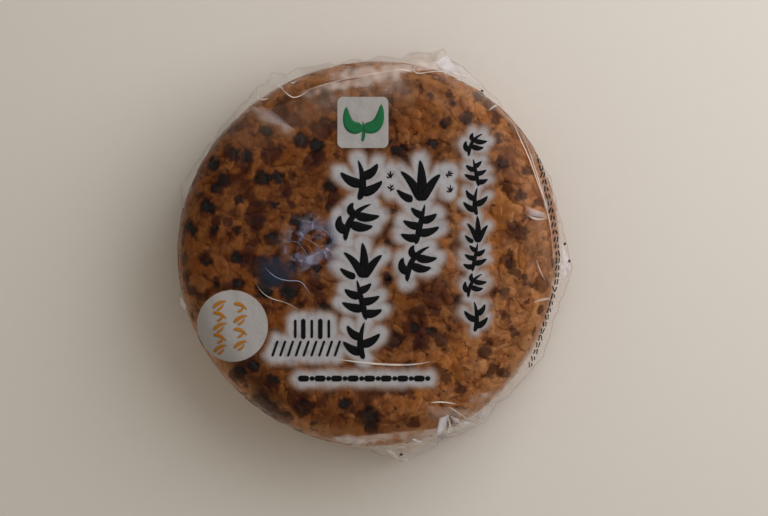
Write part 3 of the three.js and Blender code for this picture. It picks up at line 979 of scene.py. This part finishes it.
def film_finish():
    clear = Finish("clear printed film")
    place = clear.place()
    front = clear.ramp(clear.axis(place, 2), 15 * MM, 18 * MM)
    flat_place = clear.vector("MULTIPLY", place, (1, 1, 0))

    # How far outside the rounded square patch a place is, seen from above
    away = clear.vector("ABSOLUTE", clear.vector("SUBTRACT", place, (*PATCH_MIDDLE, 0)))
    inner = PATCH_HALF - PATCH_CORNER
    away = clear.vector("MAXIMUM", clear.vector("SUBTRACT", away, (inner, inner, FAR)), (0, 0, 0))
    from_patch = clear.vector("LENGTH", away, output=1) - PATCH_CORNER
    patch = 1 - clear.ramp(from_patch, -SHARP, SHARP)
    from_sticker = clear.vector("DISTANCE", flat_place, (*STICKER_MIDDLE, 0), output=1)
    sticker = 1 - clear.ramp(from_sticker, STICKER_RADIUS - SHARP, STICKER_RADIUS + SHARP)
    paper = sticker.most(patch) * front
    field = clear.attribute("field") * front * FIELD_COVER
    ink = field.most(paper * 0.97)

    smudge = clear.ramp(clear.noise(place, 2.4 * MM, detail=3.0), 0.56, 0.68) * 0.7
    field_colour = clear.mix(smudge, FIELD_GREY, SMUDGE_GREY)
    ink_colour = clear.mix(paper, field_colour, PAPER_GREY)

    wander = clear.noise(place, 3.0 * MM, detail=3.0)

    def oval(middle, half, gone):
        """1 inside an oval on the front, and 0 past its wandering edge."""
        off_middle = clear.vector("SUBTRACT", flat_place, (*middle, 0))
        off_middle = clear.vector("DIVIDE", off_middle, (*half, 1))
        away = clear.vector("LENGTH", off_middle, output=1) + wander
        return (1 - clear.ramp(away, 1.0, gone)) * front

    # The crinkled hollow: a net of thin painted highlight lines with a thin painted bluish sheen between
    # them
    hollow = oval(HOLLOW_MIDDLE, HOLLOW_HALF, 1.55)
    shift = clear.noise(place, 2.5 * MM, output="Color")
    shift = clear.vector("MULTIPLY", shift, (1.6 * MM, 1.6 * MM, 0))
    shifted = clear.vector("ADD", flat_place, shift)
    to_edge = clear.node("TexVoronoi", {"Vector": shifted, "Scale": 1 / NET_CELL},
                         feature="DISTANCE_TO_EDGE")
    net = (1 - clear.ramp(to_edge, 0.01, 0.10)) * clear.ramp(wander, 0.42, 0.60)
    pool = oval(POOL_MIDDLE, POOL_HALF, 1.5)

    # Painted light on the film: the brown reflection near the rim, milky bands that partly paint
    # reflections, highlights on crumple edges and on the hollow's net, and the pool's shade
    painted_rice_reflection = clear.attribute("painted_rice_reflection")
    ridge = clear.attribute("crumple")
    milky = clear.attribute("haze").most(ridge * RIDGE_MILKY)
    thick = clear.ramp(milky, 0.15, 0.5).most(ridge)
    milky = milky.most(painted_rice_reflection * RICE_REFLECTION_COVER)
    milky = milky.most(hollow * (clear.ramp(wander, 0.38, 0.6) * 0.28 + net * 0.3))
    milky = milky.most(pool * POOL_COVER)
    mirror = clear.node("Fresnel", {"IOR": MIRROR_IOR}).least(MIRROR_MOST)
    seen_through = (1 - mirror) * (1 - milky) * (1 - ink)
    alpha = 1 - seen_through
    painted = clear.mix(thick, THIN_MILKY_RICE_SHEEN, MILKY)
    painted = clear.mix(painted_rice_reflection * (1 - thick), painted, RICE_REFLECTION_BROWN)
    painted = clear.mix(hollow, painted, BLUISH_SHEEN)
    painted = clear.mix(clear.ramp(pool, 0.0, 0.3), painted, POOL_BLUE)
    painted = clear.mix(ink, painted, ink_colour)
    shine = (mirror / alpha).least(1.0) * (1 - ink)
    crinkle = clear.noise(place, 1.3 * MM, detail=3.0) + net * hollow * 0.4
    return clear.surface({
        "Base Color": clear.mix(shine, painted, MIRROR_COLOUR),
        "Metallic": shine,
        "Roughness": 0.13 + ink * 0.4,
        "Alpha": alpha,
        "Normal": clear.bump(crinkle, 0.5, 0.35 * MM),
    })


hand_over(film, "film_bag", film_finish())

# %% [markdown]
# A stroke of print and a crease in the film are both narrow strips that follow a run over
# the film. So one strip is modelled as a grid, its grid places are read as shares along and
# across, and each run gets a copy laid on it. The Solidify modifier gives the joined strips
# their thickness, which also closes them.

# %% One strip to lay along runs
STRIP_STEPS = 20
STRIP_THICKNESS = 0.04 * MM
RIM_MARGIN = 0.15 * MM
CREASE_SLIM = 0.75

start_piece()
bpy.ops.mesh.primitive_grid_add(x_subdivisions=STRIP_STEPS, y_subdivisions=4, size=1)
strip = bpy.context.object
strip_along = places_of(strip.data)[:, 0] + 0.5
strip_across = places_of(strip.data)[:, 1]
strip_faces = [tuple(face.vertices) for face in strip.data.polygons]
bpy.data.objects.remove(strip)


def brush_width(share, run_length, width):
    """Full soon after the start, then thinner to a pointed end, as a brush leaves it."""
    return width * (0.06 + 0.94 * np.sin(math.pi * np.clip(share, 0, 1) ** 0.62) ** 0.6)


def bar_width(share, run_length, width):
    """The same width all along, with round ends."""
    past_end = np.abs(share - 0.5) * (run_length + width) - run_length / 2
    return width * np.sqrt(np.clip(1 - (np.maximum(past_end, 0) / (width / 2)) ** 2, 0.01, 1))


def crease_width(share, run_length, width):
    """Widest in the middle and pointed at both ends."""
    return CREASE_SLIM * width * (0.08 + 0.92 * np.sin(math.pi * np.clip(share, 0, 1)) ** 0.6)


def on_film(places, lift):
    """Sets places this far above the film. What would lie past the rim is drawn in to it."""
    x, y = places[..., 0], places[..., 1]
    reach, _ = rim_at(np.arctan2(y, x))
    drawn_in = np.minimum(1, (reach - RIM_MARGIN) / np.hypot(x, y))
    x, y = x * drawn_in, y * drawn_in
    return np.stack([x, y, film_top(x, y)[0] + lift], -1)


def lay_strips(name, runs, width_at, lift):
    """Lays a copy of the strip along each run, on the film, and joins them all."""
    copies = []
    for run, width in runs:
        run = np.array(run, dtype=float)
        length = np.linalg.norm(np.diff(run, axis=0), axis=1).sum()
        if width_at is bar_width:
            reach_out = (run[-1] - run[0]) / length * width / 2
            run = np.array([run[0] - reach_out, run[-1] + reach_out])
        ahead = (point_on_run(run, np.minimum(strip_along + 0.03, 1))
                 - point_on_run(run, np.maximum(strip_along - 0.03, 0)))
        ahead /= np.linalg.norm(ahead, axis=1)[:, None]
        leftward = np.stack([-ahead[:, 1], ahead[:, 0]], 1)
        offset = strip_across * width_at(strip_along, length, width)
        copies.append(point_on_run(run, strip_along) + leftward * offset[:, None])
    return copies_as_piece(name, on_film(np.array(copies) * MM, lift), strip_faces)


def select(piece):
    """Selects a piece and makes it the one that the next operator works on."""
    piece.select_set(True)
    bpy.context.view_layer.objects.active = piece


def join_to(piece, other):
    start_piece()
    select(other)
    select(piece)
    bpy.ops.object.join()


def give_thickness(piece):
    start_piece()
    select(piece)
    solid = piece.modifiers.new("thickness", "SOLIDIFY")
    solid.thickness = STRIP_THICKNESS
    solid.offset = 1
    bpy.ops.object.modifier_apply(modifier=solid.name)


print("faces in a strip:", len(strip_faces))

# %% [markdown]
# The black marks come first: the twigs, the bars and beads, a row of small ticks down the
# folded right edge of the film and six loose specks. The orange strokes stand in two short
# columns on the round sticker, and two green leaves with a stem on the square patch.

# %% Printed strokes
INK_LIFT = 0.07 * MM
BLACK_INK = (0.003, 0.003, 0.004)
ORANGE_INK = (0.42, 0.16, 0.02)
GREEN_INK = (0.015, 0.14, 0.05)
EDGE_LINE = [
    (34.6, 25.0), (35.8, 22.3), (35.9, 19.5), (37.9, 11.3), (38.9, 7.2), (39.6, 3.8),
    (39.6, 0.4), (40.6, -2.6), (39.9, -7.3), (38.4, -12.2), (36.6, -18.2), (34.7, -24.8),
]
SPECKS = [(0.6, -44.4), (6.6, -44.2), (6.5, -46.4), (24.0, 34.2), (41.9, 1.3), (43.0, -2.4)]
TICKS = 34
TICK_SEED = 9
TICK_SHIFTS = (-0.35, 0.3)
TICK_WIDTH = 0.24


def ink_finish(name, colour):
    ink = Finish(name)
    return ink.surface({"Base Color": (*colour, 1.0), "Roughness": 0.6, "Specular IOR Level": 0.1})


draw = np.random.default_rng(TICK_SEED)
ticks = []
for share in np.linspace(0, 1, TICKS):
    (px, py), = point_on_run(EDGE_LINE, [share])
    for shift in TICK_SHIFTS:
        lean = draw.uniform(-0.5, 0.5)
        half = draw.uniform(0.25, 0.6)
        foot = (px + shift - half * lean, py - half)
        head = (px + shift + half * lean, py + half)
        ticks.append(([foot, head], TICK_WIDTH))
specks = [([(px, py), (px + 0.15, py + 0.1)], 0.55) for px, py in SPECKS]

black_strokes = lay_strips("print_black", brush_runs, brush_width, INK_LIFT)
black_bars = lay_strips("black_bars", bar_runs + ticks + specks, bar_width, INK_LIFT)
join_to(black_strokes, black_bars)
give_thickness(black_strokes)
hand_over(black_strokes, "print_black", ink_finish("black ink", BLACK_INK))

orange_runs = []
for column, (px, top, count) in enumerate([(-27.4, -12.0, 4), (-31.8, -11.6, 5)]):
    for number in range(count):
        py = top - number * (2.7 if column == 0 else 2.35)
        tilt = 0.7 if (number + column) % 2 else -0.6
        orange_runs.append(([(px - 1.4, py - tilt), (px, py + 0.45), (px + 1.4, py + tilt)], 0.78))
        orange_runs.append(([(px - 0.6, py - 1.1), (px + 0.3, py - 0.6), (px + 0.8, py + 0.2)], 0.52))
orange = lay_strips("print_orange", orange_runs, brush_width, INK_LIFT)
give_thickness(orange)
hand_over(orange, "print_orange", ink_finish("orange ink", ORANGE_INK))

green_runs = [
    ([(-1.6, 23.0), (-1.3, 25.0), (-1.5, 27.2)], 0.7),
    ([(-1.5, 26.2), (-4.2, 26.4), (-5.0, 30.2)], 2.6),
    ([(-1.5, 26.2), (1.4, 26.6), (2.4, 30.8)], 2.6),
]
green = lay_strips("print_green", green_runs, brush_width, INK_LIFT)
give_thickness(green)
hand_over(green, "print_green", ink_finish("green ink", GREEN_INK))

# %% [markdown]
# Sharp folds in clear film catch the light as thin bright lines, and here these are painted: each is a pale
# strip with pointed ends that stands a little above the film, brightest along its middle, partly milky film
# and partly painted highlight. Its strength is stored on its points, and the finish uses it as alpha. The
# facets are pale patches of painted reflection, and the creases in the hollow are painted bluish highlights.

# %% Creases and facets, painted highlights
CREASE_LIFT = 0.14 * MM
FACET_LIFT = 0.10 * MM
CREASES = [
    # Over the top edge
    ([(-14.8, 33.4), (-10.2, 34.9), (-6.4, 36.0), (-2.1, 36.9)], 0.60, 0.22),
    ([(-3.0, 36.6), (2.1, 37.6), (5.9, 38.2)], 0.70, 0.25),
    ([(5.1, 38.1), (7.2, 38.3), (8.7, 37.8)], 0.80, 0.60),
    ([(-19.2, 34.4), (-18.5, 34.0), (-17.2, 32.8), (-16.3, 32.2), (-14.8, 32.6), (-13.1, 33.7)], 0.40, 0.80),
    ([(-17.1, 36.3), (-16.4, 35.5), (-15.5, 36.2)], 0.45, 0.70),
    ([(-20.1, 34.8), (-19.0, 34.7), (-18.3, 33.8)], 0.60, 0.75),
    # Crumple at the upper left
    ([(-24.7, 35.1), (-24.9, 33.1), (-23.0, 31.9), (-21.3, 32.3)], 0.70, 0.75),
    ([(-26.5, 29.5), (-25.4, 31.5), (-24.0, 32.9)], 0.50, 0.70),
    # Loop and wisp at the top
    ([(13.3, 42.0), (11.5, 40.3), (9.1, 39.0), (8.7, 37.8), (10.2, 37.2), (12.8, 38.0), (16.0, 38.1),
      (18.8, 37.6)], 0.30, 0.80),
    ([(15.7, 44.7), (16.4, 43.4), (16.6, 41.7)], 0.60, 0.80),
    ([(15.4, 38.1), (18.2, 37.8), (21.0, 37.0), (21.9, 35.7)], 0.60, 0.65),
    ([(21.9, 35.7), (24.5, 34.5), (27.2, 32.8), (29.7, 29.1)], 0.40, 0.60),
    # Right side
    ([(29.7, 29.1), (31.5, 24.5), (34.0, 19.1), (35.7, 13.8), (37.4, 9.6)], 0.35, 0.60),
    ([(30.8, 28.5), (32.9, 23.5), (34.9, 18.1), (36.3, 12.8), (38.0, 7.4), (38.7, 2.1), (39.1, -3.2)],
     0.30, 0.50),
    ([(25.1, 29.5), (26.5, 30.6), (28.0, 31.1)], 0.60, 0.50),
    ([(33.2, 7.6), (35.2, 6.6), (37.8, 6.8)], 0.90, 0.30),
    ([(34.6, -11.1), (36.7, -10.5), (38.5, -10.3)], 0.90, 0.34),
    ([(38.8, -10.0), (39.7, -11.8), (38.7, -12.8)], 0.50, 0.40),
    ([(35.2, -1.7), (36.0, -4.2), (37.4, -6.8)], 0.40, 0.30),
    ([(31.9, 27.0), (35.0, 23.8), (36.6, 19.8), (39.7, 11.2), (41.2, 4.1), (42.9, -2.6)], 0.30, 0.35),
    ([(43.3, -4.1), (42.4, -8.2), (40.6, -13.6), (38.8, -20.2), (37.6, -24.4)], 0.30, 0.30),
    ([(42.2, -2.1), (43.0, -4.1), (42.3, -6.2)], 1.20, 0.70),
    # Lower right
    ([(33.6, -25.4), (30.8, -27.0), (29.1, -29.1), (27.7, -30.9), (26.1, -32.2)], 0.30, 0.55),
    ([(25.5, -32.3), (25.0, -35.0), (23.8, -37.1)], 0.80, 0.50),
    ([(23.4, -37.5), (20.7, -38.0), (17.7, -39.7), (15.1, -40.6)], 0.35, 0.45),
    ([(12.7, -32.4), (15.3, -32.2), (18.5, -32.7)], 0.50, 0.80),
    ([(16.5, -33.1), (19.2, -34.9), (23.2, -37.8)], 0.35, 0.60),
    ([(16.3, -34.6), (17.1, -37.5), (17.5, -40.0)], 0.80, 0.60),
    ([(16.8, -33.1), (20.2, -35.6), (23.5, -37.9)], 0.45, 0.55),
    # Below the print
    ([(-7.2, -23.1), (-1.1, -23.9), (4.2, -24.3), (9.5, -24.3), (13.3, -23.5)], 0.70, 0.65),
    # Bottom
    ([(-8.4, -39.8), (-5.4, -40.2), (-3.9, -42.2), (-2.6, -42.7), (-0.9, -40.6), (2.1, -40.1), (4.3, -40.9)],
     0.30, 0.70),
    ([(-8.4, -40.0), (-6.9, -41.5), (-3.9, -42.5)], 0.25, 0.60),
    ([(-2.3, -45.0), (-0.5, -43.1), (1.7, -41.8), (3.8, -40.9)], 0.35, 0.50),
    ([(3.4, -43.1), (5.4, -45.2), (7.5, -45.7), (9.3, -45.5)], 0.80, 0.85),
    ([(4.7, -43.6), (6.4, -42.1), (8.6, -43.0)], 0.60, 0.80),
    ([(8.8, -42.0), (10.7, -41.3), (12.5, -42.4)], 0.50, 0.70),
    ([(10.2, -46.3), (11.3, -45.8), (11.7, -45.1)], 0.40, 0.50),
    ([(10.3, -43.3), (14.0, -42.5), (18.4, -40.8), (21.7, -39.6), (24.6, -37.9)], 0.30, 0.35),
    # Hollow at the left
    ([(-24.3, -6.8), (-22.9, -9.1), (-20.7, -10.4), (-18.0, -11.0), (-14.2, -13.1)], 0.30, 0.40),
    # Left side
    ([(-42.3, -10.2), (-41.1, -11.0), (-39.4, -12.2)], 1.00, 0.50),
    ([(-41.3, -12.4), (-39.9, -13.6)], 0.60, 0.40),
    ([(-17.7, 40.2), (-21.2, 38.7), (-24.6, 36.8), (-28.3, 32.6), (-31.4, 27.9), (-35.0, 24.3)], 0.30, 0.20),
    ([(-35.0, 24.3), (-35.8, 21.1), (-37.9, 18.8), (-40.6, 14.6), (-40.8, 9.1), (-39.7, 4.5)], 0.30, 0.20),
    ([(-40.7, -13.0), (-38.4, -17.3), (-35.9, -21.1), (-32.7, -24.7), (-27.9, -29.3), (-25.9, -31.0)],
     0.30, 0.20),
]
BLUISH_CREASES = [
    ([(-22.4, -3.4), (-21.2, -4.9), (-19.5, -6.1), (-16.9, -6.6), (-14.6, -6.4), (-13.5, -8.0),
      (-12.5, -9.7)], 0.34, 0.50),
    ([(-15.7, 3.6), (-13.0, 2.2), (-10.6, 0.6), (-8.7, 1.3)], 0.22, 0.28),
    ([(-12.3, 4.9), (-10.2, 4.7), (-8.4, 3.2), (-7.6, 1.2)], 0.20, 0.26),
    ([(-18.4, 1.6), (-15.4, 1.9), (-13.5, -0.6), (-12.4, -3.6)], 0.20, 0.22),
]
# Painted highlight and reflection colours for the creases, facets and bluish creases
CREASE_HIGHLIGHT_COLOUR = (0.97, 0.88, 0.80)
FACET_REFLECTION_COLOUR = (0.98, 0.93, 0.96)
BLUISH_HIGHLIGHT_COLOUR = (0.50, 0.58, 0.76)
STRENGTH_WANDER = 0.55
FACET_BOOST = 1.5


def write_strengths(piece, strengths, fade, cloud, seed, boost=1, most=1):
    """Stores how bright each strip is at each of its points, with soft patches."""
    wander = 1 + STRENGTH_WANDER * field_of_noise(places_of(piece.data), cloud, seed)
    values = np.repeat(strengths, len(fade)) * np.tile(fade, len(strengths)) * wander * boost
    write_attribute(piece.data, "strength", np.clip(values, 0, most))


all_creases = CREASES + BLUISH_CREASES
creases = lay_strips("film_creases", [crease[:2] for crease in all_creases],
                     crease_width, CREASE_LIFT)
across_fade = 1 - (2 * np.abs(strip_across)) ** 2
along_fade = np.sin(math.pi * strip_along) ** 0.5
crease_fade = across_fade * along_fade
write_strengths(creases, [crease[2] for crease in all_creases], crease_fade, 2 * MM, 31)
tints = [0] * len(CREASES) + [1] * len(BLUISH_CREASES)
write_attribute(creases.data, "tint", np.repeat(tints, len(strip_along)))

# Facets, pale patches of painted reflection: the corners go down one side and back up the other
FACETS = [
    ([(14.7, -35.7), (13.7, -40.5), (15.9, -39.6), (16.8, -34.8)], 0.45),
    ([(16.3, -39.5), (16.8, -37.2), (17.0, -37.2), (17.6, -39.7)], 0.70),
    ([(16.9, -35.1), (18.7, -38.3), (23.3, -37.8), (23.4, -37.6)], 0.50),
    ([(22.2, -36.9), (24.1, -37.9), (25.2, -34.3), (24.2, -33.9)], 0.42),
    ([(23.5, -35.6), (23.8, -37.3), (24.3, -37.3), (24.1, -35.4)], 0.60),
    ([(2.9, -43.0), (6.2, -46.1), (6.9, -45.5), (4.2, -42.5)], 0.70),
    ([(6.4, -45.6), (8.2, -46.1), (8.4, -45.5), (6.7, -45.0)], 0.70),
    ([(8.7, -40.3), (10.9, -41.7), (11.5, -41.1), (9.4, -40.0)], 0.60),
    ([(13.5, 39.9), (14.9, 38.5), (19.3, 37.4), (17.7, 43.4)], 0.30),
    ([(17.7, 43.4), (19.3, 37.4), (24.8, 35.1), (22.0, 38.8)], 0.22),
    ([(-42.3, -10.4), (-40.4, -13.4), (-38.8, -12.0), (-40.7, -10.1)], 0.50),
    ([(25.6, -33.3), (26.5, -36.6), (29.2, -32.5), (27.9, -30.9)], 0.15),
    ([(13.7, -40.5), (10.8, -42.8), (17.7, -41.3), (23.4, -37.8)], 0.16),
    ([(40.9, 2.2), (41.2, -2.8), (43.2, -5.4), (43.1, -2.2)], 0.42),
    ([(41.1, -1.4), (40.6, -4.6), (42.0, -7.7), (43.1, -5.4)], 0.36),
    ([(32.8, 9.3), (33.7, 7.2), (37.8, 6.8), (37.6, 7.7)], 0.11),
    ([(-8.4, -39.8), (-3.9, -42.5), (-0.9, -40.6), (-4.3, -39.1)], 0.18),
    ([(-26.2, 31.0), (-23.4, 27.6), (-15.7, 25.3), (-21.2, 30.0)], 0.06),
]
facet_copies = []
for corners, strength in FACETS:
    first, second, third, fourth = np.array(corners)
    down = strip_along[:, None]
    over = strip_across[:, None] + 0.5
    facet_copies.append((first * (1 - down) + second * down) * (1 - over)
                        + (fourth * (1 - down) + third * down) * over)
facets = copies_as_piece("film_facets", on_film(np.array(facet_copies) * MM, FACET_LIFT), strip_faces)
write_strengths(facets, [facet[1] for facet in FACETS], 0.3 + 0.7 * crease_fade ** 0.7,
                2.5 * MM, 32, boost=FACET_BOOST, most=0.95)
write_attribute(facets.data, "tint", np.full(len(facets.data.vertices), -1.0))
join_to(creases, facets)
give_thickness(creases)
glint = Finish("creased film")
tint = glint.attribute("tint")
crease_colour = glint.mix(tint.most(0.0), CREASE_HIGHLIGHT_COLOUR, BLUISH_HIGHLIGHT_COLOUR)
# The strips are painted highlights and reflections, partly milky film
hand_over(creases, "film_creases", glint.surface({
    "Base Color": glint.mix((tint * -1).most(0.0), crease_colour, FACET_REFLECTION_COLOUR),
    "Roughness": 0.3,
    "Alpha": glint.attribute("strength"),
}))

# %% [markdown]
# The back of the pack can't be seen here, so it is closed the plain way: a long seam is
# folded flat down the middle, and the two ends are folded in over it. They are crumpled
# sheets of the same film.

# %% Folds underneath
SEAM = (13, 58)
END_ROOT = 44
END_TIP = 18
END_REACH = 30
END_LENGTH = 23
SEAM_HEIGHT = 0.42 * MM
END_HEIGHT = 0.2 * MM
SHEET_THICKNESS = 0.12 * MM
SHEET_CRUMPLE = 0.12 * MM


def folded_sheet(width_at, start, end, height, seed):
    """A flat crumpled sheet along Y, whose width is worked out from how far along it is."""
    start_piece()
    bpy.ops.mesh.primitive_grid_add(x_subdivisions=40, y_subdivisions=60, size=1)
    sheet = bpy.context.object
    places = places_of(sheet.data)
    share = places[:, 1] + 0.5
    places[:, 0] *= width_at(share) * MM
    places[:, 1] = (start + (end - start) * share) * MM
    places[:, 2] = height + field_of_noise(places, 4 * MM, seed) * SHEET_CRUMPLE
    if end < start:
        places[:, 0] *= -1
    move_to(sheet.data, places)
    solid = sheet.modifiers.new("thickness", "SOLIDIFY")
    solid.thickness = SHEET_THICKNESS
    solid.offset = 0
    bpy.ops.object.modifier_apply(modifier=solid.name)
    bpy.ops.object.shade_smooth()
    return sheet


def end_width(share):
    return END_ROOT + (END_TIP - END_ROOT) * share


def seam_width(share):
    return SEAM[0] + 0 * share


def sheet_finish():
    sheet = Finish("folded film")
    crumple = sheet.noise(sheet.place(), 2 * MM, detail=4.0)
    milky = sheet.ramp(crumple, 0.45, 0.7) * 0.3
    return sheet.surface({
        "Base Color": (*MILKY, 1.0),
        "Roughness": 0.25,
        "Alpha": milky + 0.1,
        "Normal": sheet.bump(crumple, 0.5, 0.3 * MM),
    })


folded = sheet_finish()
end_stop = END_REACH - END_LENGTH
for name, width_at, start, end, height, seed in [
    ("back_seam", seam_width, -SEAM[1] / 2, SEAM[1] / 2, SEAM_HEIGHT, 21),
    ("end_fold_near", end_width, -END_REACH, -end_stop, END_HEIGHT, 22),
    ("end_fold_far", end_width, END_REACH, end_stop, END_HEIGHT, 23),
]:
    hand_over(folded_sheet(width_at, start, end, height, seed), name, folded)

# %% [markdown]
# The light is a plain soft window high at the upper right, so near that the floor gets about
# 1.6 times as much light there as at the lower left. The sky round it fills the shadows.

# %% Floor, lights and camera
FLOOR_SIZE = 1.6
FLOOR_COLOUR = (0.80, 0.75, 0.67)
WINDOW_PLACE = Vector((0.20, 0.145, 0.25))
WINDOW_SIZE = 0.4
WINDOW_POWER = 0.95
WINDOW_COLOUR = (0.94, 0.95, 1.0)
SKY_COLOUR = (1.0, 0.93, 0.825)
SKY_STRENGTH = 0.32
PIXELS_PER_MM = 4.72
IMAGE_WIDTH = 768
IMAGE_MIDDLE = (384, 258)
BALL_MIDDLE = (370, 250)
SENSOR = 36.0
CAMERA_ABOVE_TOP = 0.8

start_piece()
bpy.ops.mesh.primitive_plane_add(size=FLOOR_SIZE)
floor = bpy.context.object
floor.name = "floor"
paper = Finish("pale floor")
fleck = paper.noise(paper.place(), 3 * MM)
lighter = tuple(min(c * 1.03, 1) for c in FLOOR_COLOUR)
floor.data.materials.append(paper.surface({
    "Base Color": paper.mix(fleck, FLOOR_COLOUR, lighter), "Roughness": 0.8,
}))

window_light = bpy.data.lights.new("window", "AREA")
window_light.shape = "SQUARE"
window_light.size = WINDOW_SIZE
window_light.energy = WINDOW_POWER
window_light.color = WINDOW_COLOUR
window = bpy.data.objects.new("window", window_light)
window.location = WINDOW_PLACE
window.rotation_euler = (-WINDOW_PLACE).to_track_quat("-Z", "Y").to_euler()
bpy.context.collection.objects.link(window)

sky = bpy.data.worlds.new("sky")
sky.use_nodes = True
sky.node_tree.nodes["Background"].inputs["Color"].default_value = (*SKY_COLOUR, 1)
sky.node_tree.nodes["Background"].inputs["Strength"].default_value = SKY_STRENGTH
bpy.context.scene.world = sky
bpy.context.scene.view_settings.view_transform = "Standard"

camera_data = bpy.data.cameras.new("camera")
camera_data.sensor_width = SENSOR
camera_data.lens = SENSOR * CAMERA_ABOVE_TOP / (IMAGE_WIDTH / PIXELS_PER_MM * MM)
camera = bpy.data.objects.new("camera", camera_data)
camera.location = (
    (IMAGE_MIDDLE[0] - BALL_MIDDLE[0]) / PIXELS_PER_MM * MM,
    (BALL_MIDDLE[1] - IMAGE_MIDDLE[1]) / PIXELS_PER_MM * MM,
    TOP_HEIGHT + CAMERA_ABOVE_TOP,
)
bpy.context.collection.objects.link(camera)
bpy.context.scene.camera = camera
print("lens in mm:", round(camera_data.lens, 1))
